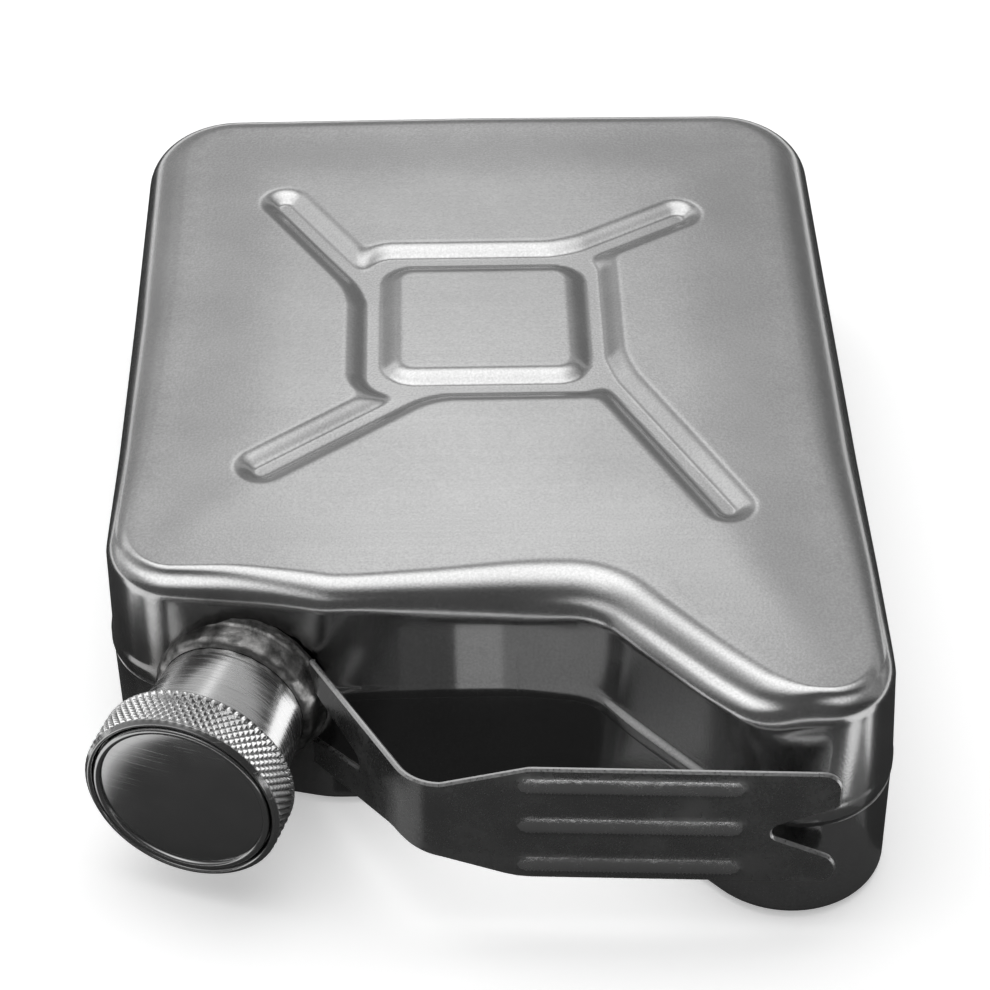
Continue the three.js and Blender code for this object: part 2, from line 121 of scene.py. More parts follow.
def staggeredGrid(low, high, step, rowPitch=0.866):
    rows = np.arange(low[1], high[1], step * rowPitch)
    columns = np.arange(low[0], high[0], step)
    return np.array([(x + (row % 2) * step / 2, y) for row, y in enumerate(rows) for x in columns])


def fillOutline(loop, inside, nearness=1e-5):
    # triangles over a closed loop with points spread inside it
    coords = [Vector(p) for p in np.vstack([loop, inside])]
    insideOnly = 1
    filled = delaunay_2d_cdt(coords, [], [list(range(len(loop)))], insideOnly, nearness)
    return np.array([(p.x, p.y) for p in filled[0]]), [list(face) for face in filled[2]]


def smoothRise(value, low, high):
    share = np.clip((value - low) / (high - low), 0, 1)
    return share * share * (3 - 2 * share)


def ringFaces(ringCount, pointCount, first=0, closed=False):
    faces = []
    for ring in range(ringCount if closed else ringCount - 1):
        here, there = first + ring * pointCount, first + ((ring + 1) % ringCount) * pointCount
        for i in range(pointCount):
            j = (i + 1) % pointCount
            faces.append((here + i, there + i, there + j, here + j))
    return faces


meshCare = {"merge": 2e-3, "sliver": 1e-4, "sharpAngle": radians(40)}


def makePiece(name, vertices, faces, materials, body, node, place=None, faceMaterials=None):
    mesh = bpy.data.meshes.new(name)
    mesh.from_pydata([tuple(v) for v in np.asarray(vertices, float) * mm], [], faces)
    if place is not None:
        mesh.transform(place)
    for material in materials:
        mesh.materials.append(material)
    if faceMaterials is not None:
        mesh.polygons.foreach_set("material_index", faceMaterials)
    work = bmesh.new()
    work.from_mesh(mesh)
    bmesh.ops.remove_doubles(work, verts=work.verts, dist=meshCare["merge"] * mm)
    bmesh.ops.dissolve_degenerate(work, edges=work.edges, dist=meshCare["sliver"] * mm)
    bmesh.ops.recalc_face_normals(work, faces=work.faces)
    work.to_mesh(mesh)
    work.free()
    mesh.shade_smooth()
    mesh.set_sharp_from_angle(angle=meshCare["sharpAngle"])
    piece = bpy.data.objects.new(name, mesh)
    bpy.context.scene.collection.objects.link(piece)
    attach(piece, body)
    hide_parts(node)
    print(name, "faces:", len(mesh.polygons))
    return piece


# materials

def linear(code):
    channels = [int(code[i:i + 2], 16) / 255 for i in (1, 3, 5)]
    return tuple(c / 12.92 if c <= 0.04045 else ((c + 0.055) / 1.055) ** 2.4 for c in channels) + (1,)


def setInputs(node, inputs):
    # inputs are values or links, by the names of the sockets or in their order
    for name, value in inputs.items() if isinstance(inputs, dict) else enumerate(inputs):
        if isinstance(value, bpy.types.NodeSocket):
            node.id_data.links.new(value, node.inputs[name])
        else:
            node.inputs[name].default_value = value


def addNode(tree, kind, inputs=(), output=0, **settings):
    node = tree.nodes.new("ShaderNode" + kind)
    for name, value in settings.items():
        setattr(node, name, value)
    setInputs(node, inputs)
    return node.outputs[output]


def startMaterial(name, local=None, **constants):
    material = bpy.data.materials.new(name)
    material.use_nodes = True
    shader = material.node_tree.nodes["Principled BSDF"]
    setInputs(shader, constants)
    add = partial(addNode, material.node_tree)
    place = add("TexCoord", output="Object")
    if local is not None:  # pattern follows the neck's frame
        neckFrame = {"Vector": place, "Location": local.to_translation(), "Rotation": local.to_euler()}
        place = add("Mapping", neckFrame, vector_type="TEXTURE")
    return material, add, shader, place


def perMm(*sizes):
    return tuple(1 / (size * mm) for size in sizes)


usualWear = (0.3, 0.7)  # most of a noise lies between these


def wearFinish(add, shader, finish, tone, wear, relief=None):
    # tone runs the colour from dark to light, wear runs the roughness over its range, relief raises the skin
    shades = {"Factor": tone, "A": linear(finish["dark"]), "B": linear(finish["light"])}
    colour = add("Mix", shades, "Result", data_type="RGBA")
    rough = add("MapRange", (wear, *finish.get("wear", usualWear), *finish["roughness"]))
    setInputs(shader, {"Base Color": colour, "Roughness": rough})
    if relief is not None:
        strength, height = finish["relief"]
        raised = add("Bump", {"Height": relief, "Strength": strength, "Distance": height * mm},
                     invert=finish.get("engraved", False))
        setInputs(shader, {"Normal": raised})
    return colour


# cold-rolled stainless sheet, satin brushed: a soft grey sheen that blurs what it mirrors, with faint
# streaks across the panel and up the walls, and the walls darkened to a dark, warm grey round the foot of the
# neck;
# the grit of the brushing is drawn coarser than it is, so that it shows
satin = {"light": "#cdcdcd", "dark": "#b8b8b8", "roughness": (0.18, 0.23), "wear": (0.6, 1.4),
         "streakLength": 30, "streakWidth": 0.22, "streakTone": 0.3, "tone": (0.85, 1.45),
         "grain": 0.24, "cloud": 14, "wave": 26, "panelFrom": (0.3, 0.7),
         "neckDarkening": "#4a4846", "neckDarkeningLevel": 0.75, "neckDarkeningFrom": 8, "neckDarkeningReach": 15, "neckDarkeningRagged": 5,
         "dents": (0.3, 0.4), "sanding": (0.2, 0.03), "brushing": (0.08, 0.02)}


def satinSteel(weldPlace):
    material, add, shader, place = startMaterial("satin_stainless_sheet", Metallic=1.0)
    long, wide = satin["streakLength"], satin["streakWidth"]
    streaks = []
    for sizes in ((long, wide, wide), (wide, wide, long)):  # across the panel, then up the walls
        laid = add("Mapping", {"Vector": place, "Scale": perMm(*sizes)})
        streaks.append(add("TexNoise", {"Vector": laid, "Scale": 1.0, "Detail": 3.0}))
    panelStreak, wallStreak = streaks
    upright = add("SeparateXYZ", (add("NewGeometry", output="True Normal"),), "Z")
    level = add("Math", (upright,), operation="ABSOLUTE")
    onPanel = add("MapRange", (level, *satin["panelFrom"]))
    streak = add("Mix", {"Factor": onPanel, "A": wallStreak, "B": panelStreak})
    broad, fine, broadest = perMm(satin["cloud"], satin["grain"], satin["wave"])
    cloud = add("TexNoise", {"Vector": place, "Scale": broad, "Detail": 4.0, "Roughness": 0.6})
    grain = add("TexNoise", {"Vector": place, "Scale": fine, "Detail": 2.0})
    wave = add("TexNoise", {"Vector": place, "Scale": broadest, "Detail": 1.0})
    blurred = add("Math", (streak, cloud), operation="ADD")
    specks = add("Math", (cloud, grain), operation="ADD")
    marks = add("Math", (wallStreak, satin["streakTone"], specks), operation="MULTIPLY_ADD")
    tone = add("MapRange", (marks, *satin["tone"]))
    steel = wearFinish(add, shader, satin, tone, blurred)
    # the walls darken to a dark, warm grey round the foot of the neck, with a ragged edge
    away = add("VectorMath", (place, weldPlace), "Value", operation="DISTANCE")
    ragged = satin["neckDarkeningRagged"] * mm
    frayed = add("MapRange", (cloud, 0.0, 1.0, -ragged, ragged))
    reach = add("Math", (away, frayed), operation="ADD")
    neckDarkeningEdge = satin["neckDarkeningFrom"] * mm, satin["neckDarkeningReach"] * mm
    neckDarkening = add("MapRange", (reach, *neckDarkeningEdge, satin["neckDarkeningLevel"], 0.0))
    offPanel = add("Math", (1.0, onPanel), operation="SUBTRACT")
    onWall = add("Math", (neckDarkening, offPanel), operation="MULTIPLY")
    shades = {"Factor": onWall, "A": steel, "B": linear(satin["neckDarkening"])}
    setInputs(shader, {"Base Color": add("Mix", shades, "Result", data_type="RGBA")})
    below = {}
    for pattern, layer in ((wave, "dents"), (grain, "sanding"), (streak, "brushing")):
        strength, height = satin[layer]
        relief = {"Height": pattern, "Strength": strength, "Distance": height * mm}
        below = {"Normal": add("Bump", {**relief, **below})}
    setInputs(shader, below)
    return material


# stainless bar turned on a lathe: fine rings round the axis, which spread highlights into long streaks
turnedFinish = {"light": "#f2f2f2", "dark": "#cacaca", "roughness": (0.17, 0.32), "ring": 0.3, "arc": 9,
                "relief": (0.45, 0.05)}


def turnedSteel(local):
    material, add, shader, place = startMaterial("turned_stainless_bar", local, Metallic=1.0)
    arc, ring = turnedFinish["arc"], turnedFinish["ring"]
    spread = add("Mapping", {"Vector": place, "Scale": perMm(arc, arc, ring)})
    rings = add("TexNoise", {"Vector": spread, "Scale": 1.0, "Detail": 3.0, "Roughness": 0.6})
    wearFinish(add, shader, turnedFinish, rings, rings, rings)
    return material


# weld bead and heat tint on stainless steel: dull, smoky grey with brighter, smoother spatter
weldFinish = {"light": "#a4a3a2", "dark": "#565655", "roughness": (0.5, 0.3), "scale": 1.6,
              "spatter": (0.35, 0.65), "relief": (0.7, 0.1)}


def weldedSteel():
    material, add, shader, place = startMaterial("welded_stainless", Metallic=1.0)
    size = perMm(weldFinish["scale"])[0]
    scale = add("TexNoise", {"Vector": place, "Scale": size, "Detail": 5.0, "Roughness": 0.65})
    spread = add("MapRange", (scale, *weldFinish["spatter"]))
    wearFinish(add, shader, weldFinish, spread, scale, scale)
    return material


# bright-annealed stainless strip: darker and shinier than the sheet, with fine dust-like scuffs
stripFinish = {"light": "#c0c0c0", "dark": "#969696", "roughness": (0.24, 0.46), "wear": (0.2, 0.34),
               "scuff": 0.4, "cloud": 6, "relief": (0.5, 0.05)}
# the strip's ribs: lighter and smoother than the strip round them; the lighter colour is a painted sheen on
# the raised ribs
ribSheenFinish = {**stripFinish, "light": "#f0f0f0", "dark": "#d6d6d6", "roughness": (0.14, 0.3), "scuff": 0.6}


def stripSteel(name, finish):
    material, add, shader, place = startMaterial(name, Metallic=1.0)
    fine, broad = perMm(finish["scuff"], finish["cloud"])
    scuff = add("TexNoise", {"Vector": place, "Scale": fine, "Detail": 4.0, "Roughness": 0.7})
    cloud = add("TexNoise", {"Vector": place, "Scale": broad, "Detail": 3.0})
    worn = add("Math", (scuff, cloud), operation="MULTIPLY")
    wearFinish(add, shader, finish, cloud, worn, scuff)
    return material


# sheared edge of steel strip: freshly torn metal, rougher than the faces; its lighter colour is a painted
# highlight along the strip's edges
edgeHighlightFinish = {"light": "#e2e2e2", "dark": "#b4b4b4", "roughness": (0.25, 0.45), "fleck": 0.3}
# rolled knurl on stainless steel: each diamond is burnished, with duller flecks where the rollers slipped
knurlFinish = {"light": "#f4f4f4", "dark": "#b8b8b8", "roughness": (0.12, 0.28), "fleck": 0.4}


def fleckedSteel(name, finish, local=None):
    material, add, shader, place = startMaterial(name, local, Metallic=1.0)
    fleck = add("TexNoise", {"Vector": place, "Scale": perMm(finish["fleck"])[0], "Detail": 3.0})
    wearFinish(add, shader, finish, fleck, fleck)
    return material


# polished stainless disc: nearly a mirror, crossed by hairline scratches that are drawn wide enough to show
polishFinish = {"light": "#bcbcbc", "dark": "#a8a8a8", "roughness": (0.14, 0.22), "cloud": 4,
                "scratchLength": 9, "scratchWidth": 0.12, "scratchTurns": (0.5, 2.2),
                "scratchCut": (0.66, 0.74), "relief": (0.22, 0.02), "engraved": True}


def polishedSteel(local):
    material, add, shader, place = startMaterial("polished_stainless", local, Metallic=1.0)
    long, wide = polishFinish["scratchLength"], polishFinish["scratchWidth"]
    scratches = []
    for turn in polishFinish["scratchTurns"]:
        laid = {"Vector": place, "Rotation": (0, 0, turn), "Scale": perMm(long, wide, long)}
        hair = add("TexNoise", {"Vector": add("Mapping", laid), "Scale": 1.0, "Detail": 1.0})
        scratches.append(add("MapRange", (hair, *polishFinish["scratchCut"])))
    crossed = add("Math", scratches, operation="MAXIMUM")
    cloud = add("TexNoise", {"Vector": place, "Scale": perMm(polishFinish["cloud"])[0], "Detail": 4.0})
    wearFinish(add, shader, polishFinish, cloud, cloud, crossed)
    return material


# moulded nitrile rubber: matt black with a faint grain
sealFinish = {"light": "#2c2c2e", "dark": "#1d1d1f", "roughness": 0.75, "fleck": 0.6}


def nitrileRubber():
    material, add, shader, place = startMaterial("moulded_nitrile_rubber", Roughness=sealFinish["roughness"])
    grain = add("TexNoise", {"Vector": place, "Scale": perMm(sealFinish["fleck"])[0], "Detail": 3.0})
    shades = {"Factor": grain, "A": linear(sealFinish["dark"]), "B": linear(sealFinish["light"])}
    setInputs(shader, {"Base Color": add("Mix", shades, "Result", data_type="RGBA")})
    return material


# body: two pressed shells on one plan, with the cross pressed into both panels
shellLow, shellHigh = [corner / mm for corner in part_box("back_shell")]
halfWidth, baseWall, noseEnd = shellHigh.x, shellHigh.y, shellLow.y
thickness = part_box("front_shell")[1].z / mm
shell = {"sheet": 0.7, "crown": 0.22, "crownReach": 12, "bendSteps": 9, "ledgeSteps": 5, "footSteps": 12,
         "baseCorner": 10, "shoulderCorner": 8.5, "shoulderWidth": 20.9, "shoulderSlope": radians(14),
         "shoulderBend": 10, "recessDepth": 16.9, "recessCorner": 4.5, "slant": radians(47),
         "slantBack": 0.55, "noseRadius": 9.25, "lipHeight": 1.2, "lipFlare": 0.9, "lipRound": 0.3,
         "lipStep": 0.1, "lipTurns": (0, 0.4, 0.8, 1.2, 1.57),
         "swellShares": (0.17, 0.33, 0.5, 0.67, 0.83, 1), "frontShares": (0.06, 0.3, 0.6, 0.94, 1),
         "backShares": (0.06, 0.5, 0.95, 1), "seamGap": 0.3, "tuck": 1.0, "joggle": 0.3, "fine": 0.36,
         "coarse": 1.7, "margin": 0.5, "wallStep": 1.2, "arcStep": radians(5), "blend": 1.6,
         "blendSteps": 2000}


def plainEdge(radius):
    return radius, 45, 0.05, 45, radius


# stations round the outline: place, edge, how far the wall's top and foot stand in, how proud the lip is;
# an edge is a bend (radius, degrees), a ledge (length, degrees at its end) and a bend to the wall (radius)
frontStations = [
    ((0, 41.4), plainEdge(3.8), (0.3, 0), 0.4),
    ((-37, 30), plainEdge(4.6), (0.2, 0), 0.4),
    ((-37, 4), plainEdge(4.6), (0.2, 0), 0.4),
    ((-37, -18), plainEdge(3.6), (0.2, 0), 0.4),
    ((-37, -31), (2.0, 45, 0.2, 40, 2.2), (0.1, 0), 0.2),
    ((-34.6, -38.3), (0.9, 46, 0.9, 24, 1.7), (0, 0), 0.15),
    ((-32, -40.2), (0.8, 47, 1.0, 18, 1.7), (-0.1, 0.05), 0.2),
    ((-28.5, -41.5), (1.0, 46, 1.0, 20, 1.9), (0.6, 0.3), 0.35),
    ((-24.8, -42.4), (1.8, 41, 0.86, 30, 2.6), (1.25, 0.5), 0.4),
    ((-21, -43.4), (2.5, 41, 0.76, 36, 2.2), (1.65, 0.8), 0.1),
    ((-17.2, -44.4), (2.85, 42, 0.86, 37, 2.0), (1.7, 1.3), -0.6),
    ((-13.5, -44.6), (2.7, 47, 0.66, 46, 1.8), (1.8, 1.4), -1.25),
    ((-6, -44.6), (3.3, 48, 0.4, 49, 4.0), (1.8, 1.5), -1.42),
    ((2.5, -44.6), (4.2, 49, 1.1, 53, 4.0), (1.9, 1.5), -1.42),
    ((8, -46), (4.7, 46, 1.0, 36, 2.2), (1.5, 1.1), -0.6),
    ((12, -49.5), (3.8, 48, 1.1, 22, 1.9), (1.0, 0.7), 0.05),
    ((18, -55.5), (3.4, 50, 1.2, 18, 1.8), (0.6, 0.4), 0.3),
    ((21.3, -59), (3.2, 50, 1.2, 20, 1.8), (0.9, 0.4), 0.25),
    ((25.4, -61.2), (2.2, 50, 1.1, 54, 3.4), (2.1, 0.3), 0.2),
    ((28.9, -61.4), (0.9, 47, 0.8, 48, 3.4), (2.3, 0.05), 0.05),
    ((31.6, -60.7), (0.9, 45, 0.8, 22, 2.0), (1.2, 0.05), 0.05),
    ((35, -58), (1.2, 45, 0.6, 30, 2.2), (0.6, 0.05), 0.05),
    ((37, -50), (2.0, 45, 0.3, 40, 2.4), (0.4, 0), 0.1),
    ((37, -38), plainEdge(3.3), (0.3, 0), 0.3),
    ((37, -20), plainEdge(4.8), (0.2, 0), 0.4),
    ((37, 10), plainEdge(4.8), (0.2, 0), 0.4),
    ((37, 30), plainEdge(4.6), (0.2, 0), 0.4),
]
back = {"edge": 3.0, "nearEdge": 1.0, "nearFrom": -40, "lean": 0.2, "tuckedIn": 0.6}
backStations = []
for place, _, (_, foot), proud in frontStations:
    stoodIn = foot + back["tuckedIn"] * max(0, -proud)  # where the lip lies in, the back half lies deeper
    near = place[1] < back["nearFrom"]  # the near walls run out to a tight edge on the table
    edge = plainEdge(back["nearEdge" if near else "edge"])
    backStations.append((place, edge, (0 if near else back["lean"], stoodIn), proud))
cross = {"depth": 0.85, "floor": 2.1, "slope": 1.55, "soften": 0.3, "crease": 0.12, "easing": 1.8,
         "blend": 1.6, "ring": (11.5, 11.1), "ringCorner": 3.2, "fineReach": 1.2, "coarseFrom": 1.6,
         "islandCorner": 1, "arms": [((-11.5, 5.7), (-21.2, 21.7)), ((9.3, 11.1), (21.2, 18.6)),
                  ((-6.3, -11.1), (-22.3, -23.8)), ((11.5, -8.2), (22.8, -30.8))]}

recessWall = noseEnd + shell["recessDepth"]
shoulderRise = tan(shell["shoulderSlope"])
shoulderEnd = Vector((shell["shoulderWidth"] - halfWidth, recessWall))
noseCentre = Vector((halfWidth - shell["noseRadius"], noseEnd + shell["noseRadius"]))
slantNormal = Vector((-sin(shell["slant"]), -cos(shell["slant"])))
slantReach = noseCentre.dot(slantNormal) + shell["noseRadius"] - shell["slantBack"]
bodyCorners = [
    (halfWidth, baseWall, shell["baseCorner"]),
    (-halfWidth, baseWall, shell["baseCorner"]),
    (-halfWidth, recessWall + shell["shoulderWidth"] * shoulderRise, shell["shoulderCorner"]),
    (*shoulderEnd, shell["shoulderBend"]),
    ((slantReach - slantNormal.y * recessWall) / slantNormal.x, recessWall, shell["recessCorner"]),
    (halfWidth, (slantReach - slantNormal.x * halfWidth) / slantNormal.y, shell["noseRadius"]),
]


def bodyOutline(offset):
    return roundedOutline(bodyCorners, offset, shell["arcStep"], shell["wallStep"])


outline = bodyOutline(0)
outlineNormal = bodyOutline(1) - outline


def roundedRectangle(points, half, radius):
    beyond = np.abs(points) - (np.array(half) - radius)
    outside = np.sqrt((np.maximum(beyond, 0) ** 2).sum(1))
    return outside + np.minimum(beyond.max(1), 0) - radius


def softMinimum(a, b, blend):
    share = np.clip(0.5 + 0.5 * (b - a) / blend, 0, 1)
    return b + (a - b) * share - blend * share * (1 - share)


def crossDistance(points):
    # distance to the edge of the channel's floor, negative on the floor
    halfFloor = cross["floor"] / 2
    outside = roundedRectangle(points, np.array(cross["ring"]) + halfFloor, cross["ringCorner"])
    island = roundedRectangle(points, np.array(cross["ring"]) - halfFloor, cross["ringCorner"])
    away = np.maximum(outside, -island)
    for start, end in cross["arms"]:
        arm = barDistance(points, start, end) - halfFloor
        away = np.where(island < 0, away, softMinimum(away, arm, cross["blend"]))
    return away


def edgeValues(stations):
    # the stations' values, blended smoothly along the outline
    steps = np.sqrt(((np.roll(outline, -1, axis=0) - outline) ** 2).sum(1))
    along = np.concatenate([[0], np.cumsum(steps)])
    total = along[-1]
    places = [along[np.argmin(((outline - place) ** 2).sum(1))] for place, *_ in stations]
    order = np.argsort(places)
    even = np.linspace(0, total, shell["blendSteps"], endpoint=False)
    apart = np.minimum(even, total - even)
    window = np.exp(-0.5 * (apart / shell["blend"]) ** 2)
    window = np.fft.rfft(window / window.sum())
    table = np.array([[*edge, *insets, proud] for _, edge, insets, proud in stations])[order]
    values = []
    for column in table.T:
        value = np.interp(even, np.array(places)[order], column, period=total)
        value = np.fft.irfft(np.fft.rfft(value) * window, len(even))
        values.append(np.interp(along[:-1], even, value, period=total))
    return values


def edgeBend(radius, turned, ledge, eased, footRadius):
    # run, drop and slope along the edge, from the panel to the wall
    turned, eased = np.radians(turned), np.radians(eased)
    ledgeSteps = shell["ledgeSteps"]

    def ledgeSlope(step):
        return turned + (eased - turned) * smoothRise(step / ledgeSteps, 0, 1)

    points = []
    for share in np.linspace(0, 1, shell["bendSteps"] + 1):
        slope = turned * share
        points.append((radius * np.sin(slope), radius * (1 - np.cos(slope)), slope))
    run, drop, _ = points[-1]
    for step in range(ledgeSteps):
        slope = ledgeSlope(step + 0.5)
        run = run + ledge / ledgeSteps * np.cos(slope)
        drop = drop + ledge / ledgeSteps * np.sin(slope)
        points.append((run, drop, ledgeSlope(step + 1)))
    for share in np.linspace(0, 1, shell["footSteps"] + 1)[1:]:
        slope = eased + (pi / 2 - eased) * share
        points.append((run + footRadius * (np.sin(slope) - np.sin(eased)),
                       drop + footRadius * (np.cos(eased) - np.cos(slope)), slope))
    return points


def panelHeight(points, edge):
    share = np.clip((crossDistance(points) + cross["soften"]) / (cross["slope"] + 2 * cross["soften"]), 0, 1)
    crease = cross["crease"]
    share = (np.hypot(share, crease) - crease) / (hypot(1, crease) - crease)
    pressed = cross["depth"] * (1 - share) ** cross["easing"]  # steepest at the floor, easing into the panel
    crown = shell["crown"] * (1 - smoothRise(-signedDistance(points, edge), 0, shell["crownReach"]))
    return thickness - pressed - crown


def panelMesh(edge):
    # fine points over the cross, coarse ones round it and on its island
    low, high = edge.min(0), edge.max(0)
    fine = staggeredGrid(low, high, shell["fine"])
    away = crossDistance(fine)
    fine = fine[(away > -cross["floor"]) & (away < cross["slope"] + cross["fineReach"])]
    grid = staggeredGrid(low, high, shell["coarse"])
    coarse = grid[crossDistance(grid) > cross["slope"] + cross["coarseFrom"]]
    islandHalf = np.array(cross["ring"]) - cross["floor"] / 2 - cross["slope"] - cross["fineReach"]
    island = grid[roundedRectangle(grid, islandHalf, cross["islandCorner"]) < 0]
    inside = np.vstack([fine, coarse, island])
    inside = inside[signedDistance(inside, edge) < -shell["margin"]]
    return fillOutline(edge, np.unique(np.round(inside, 4), axis=0))


def shellPiece(node, stations, makeRim, turnOver, material):
    *edge, inset, footInset, proud = edgeValues(stations)
    rim, sheet = thickness - shell["crown"], shell["sheet"]
    bend = edgeBend(*edge)
    fullRun, fullDrop, _ = bend[-1]
    outside = [(run - fullRun - inset, rim - drop) for run, drop, _ in bend]
    within = [(offset - sheet * np.sin(slope), height - sheet * np.cos(slope))
              for (offset, height), (_, _, slope) in zip(outside, bend)]
    panelEdge = outline + outlineNormal * (-fullRun - inset)[:, None]
    flat, panelFaces = panelMesh(panelEdge)
    panel = np.column_stack([flat, panelHeight(flat, panelEdge)])
    rings = []
    for offset, height in outside + makeRim(inset, footInset, rim - fullDrop, proud) + within[::-1]:
        reach = np.broadcast_to(offset, len(outline))[:, None]
        level = np.broadcast_to(height, len(outline))
        rings.append(np.column_stack([outline + outlineNormal * reach, level]))
    vertices = np.vstack([panel, panel - (0, 0, sheet)] + rings)
    faces = panelFaces + [[len(panel) + i for i in reversed(face)] for face in panelFaces]
    faces += ringFaces(len(rings), len(rings[0]), 2 * len(panel))
    if turnOver:
        vertices = vertices * (1, 1, -1) + (0, 0, thickness)
    return makePiece("pressed_" + node, vertices, faces, [material], "flask", node)


def leaningWall(inset, footInset, wallTop, foot, shares):
    return [(-inset + (inset - footInset) * share, wallTop + (foot - wallTop) * share) for share in shares]


def frontRim(inset, footInset, wallTop, proud):
    # from the foot of the edge down the wall, over the lip and back up inside
    lipTop, lipBottom = (thickness + shell["lipHeight"]) / 2, (thickness - shell["lipHeight"]) / 2
    sheet, flare, rounding = shell["sheet"], shell["lipFlare"], shell["lipRound"]
    foot = lipTop + flare
    wall = leaningWall(inset, footInset, wallTop, foot, shell["frontShares"])
    swell = [(-footInset + (footInset + proud) * float(smoothRise(share, 0, 1)), lipTop + flare * (1 - share))
             for share in shell["swellShares"]]
    turned = [(proud - rounding * (1 - cos(a)), lipBottom + rounding * (1 - sin(a)))
              for a in shell["lipTurns"]]
    inner = [(proud - sheet, height) for height in (lipBottom, lipTop - shell["lipStep"])]
    top = (-sheet - inset, wallTop + (foot - wallTop) * shell["frontShares"][0])
    return wall + swell + turned + inner + [(-sheet - footInset, foot), top]


def backRim(inset, footInset, wallTop, proud):
    # the same for the back half, whose rim tucks into the lip; heights are as if it were turned over
    lipBottom = (thickness + shell["lipHeight"]) / 2
    sheet, gap = shell["sheet"], shell["seamGap"]
    seam = lipBottom + gap / 2
    foot, tucked, tuckTop = seam + shell["joggle"], proud - sheet - gap, lipBottom - shell["tuck"]
    wall = leaningWall(inset, footInset, wallTop, foot, shell["backShares"])
    tuck = [(tucked, seam), (tucked, tuckTop), (tucked - sheet, tuckTop), (tucked - sheet, seam + gap)]
    top = (-sheet - inset, wallTop + (foot - wallTop) * shell["backShares"][0])
    return wall + tuck + [(-sheet - footInset, foot + gap), top]


# neck, collar and cap share one frame: local Z runs out along the neck
neck = {"tilt": radians(18.7), "across": 12.6, "radius": 7.15, "topRadius": 8.0, "bore": 5.2,
        "height": 10.1, "pilotReach": 2.2, "flareFrom": 2.0, "flareRound": 3.0, "topRound": 0.35,
        "mouthRound": 0.25, "rootRound": 0.1, "sharp": 0.02, "segments": 144, "arcStep": radians(15)}
thread = {"pitch": 1.25, "length": 2.55, "depth": 0.55, "foot": 0.6, "crest": 0.28, "inset": 0.1,
          "clearance": 0.2, "steps": 72}
neckFoot = Vector((neck["across"] - halfWidth,
                   recessWall + (shell["shoulderWidth"] - neck["across"]) * shoulderRise, thickness / 2))
neckAxis = Vector((-sin(neck["tilt"]), -cos(neck["tilt"]), 0))
neckSide = Vector((cos(neck["tilt"]), -sin(neck["tilt"]), 0))
neckTurn = Matrix((neckSide, (0, 0, 1), neckAxis)).transposed().to_4x4()
neckPlace = Matrix.Translation(neckFoot * mm) @ neckTurn
threadOutside = neck["radius"] - thread["inset"]
threadRoot = threadOutside - thread["depth"]
mouthHeight = neck["height"] + thread["length"]


def ringPoints(angles, radius, height):
    level = np.broadcast_to(height, len(angles))
    return np.column_stack([radius * np.cos(angles), radius * np.sin(angles), level])


def lathe(profile, segments, shift=None):
    angles = np.linspace(0, 2 * pi, segments, endpoint=False)
    rings = []
    for radius, height in profile:
        reach = radius + (shift(angles, radius, height) if shift else 0)
        rings.append(ringPoints(angles, reach, height))
    return np.vstack(rings), ringFaces(len(rings), segments, closed=True)


def threadRidge(footRadius, crestRadius, low, high, startAngle, first):
    sunk = copysign(thread["clearance"], footRadius - crestRadius)
    halfFoot, halfCrest = thread["foot"] / 2, thread["crest"] / 2
    winds = (high - low - thread["foot"]) / thread["pitch"]
    steps = ceil(winds * thread["steps"])
    section = [(footRadius + sunk, -halfFoot), (crestRadius, -halfCrest),
               (crestRadius, halfCrest), (footRadius + sunk, halfFoot)]
    points = []
    for step in range(steps + 1):
        wind = winds * step / steps
        angle = startAngle + wind * 2 * pi
        height = low + halfFoot + wind * thread["pitch"]
        points += [(r * cos(angle), r * sin(angle), height + rise) for r, rise in section]
    faces = ringFaces(steps + 1, 4, first)
    last = first + 4 * steps
    faces += [(first, first + 1, first + 2, first + 3), (last + 3, last + 2, last + 1, last)]
    return np.array(points), faces


def neckPiece(material):
    sharp, mouthRound = neck["sharp"], neck["mouthRound"]
    corners = [(neck["bore"], -neck["pilotReach"], sharp), (neck["radius"], -neck["pilotReach"] / 2, sharp),
               (neck["radius"], neck["flareFrom"], neck["flareRound"]),
               (neck["topRadius"], neck["height"], neck["topRound"]),
               (threadRoot, neck["height"], neck["rootRound"]),
               (threadRoot, mouthHeight, mouthRound), (neck["bore"], mouthHeight, mouthRound)]
    tube, tubeFaces = lathe(roundedOutline(corners, 0, neck["arcStep"]), neck["segments"])
    ridge, ridgeFaces = threadRidge(threadRoot, threadOutside, neck["height"], mouthHeight, 0, len(tube))
    return makePiece("turned_neck", np.vstack([tube, ridge]), tubeFaces + ridgeFaces, [material],
                     "flask", "neck_spout", neckPlace)


# collar: a low ring round the foot of the neck, run into the shoulder by hand welding;
# its top is listed as shares of width, height and ripple, its flare as how far past it and above the wall
collar = {"width": 0.85, "height": 1.8, "fit": 0.05, "ripple": 0.04, "ripples": 23, "segments": 216,
          "sunk": 0.3, "upperSunk": 1.0, "flareCeiling": 0.5, "footSunk": 0.2,
          "wobbleAt": (3, 0.4), "wobbleShift": 2, "wobbleRise": 1.6, "search": (-8.0, 6.0, 24),
          "top": [(0, 1, 0.3), (0.3, 0.97, 0.8), (0.62, 0.88, 1), (0.85, 0.72, 1), (0.97, 0.5, 1)],
          "flare": [(0.02, 0.8), (0.08, 0.55), (0.2, 0.36), (0.38, 0.24), (0.6, 0.18), (0.6, -0.2)]}


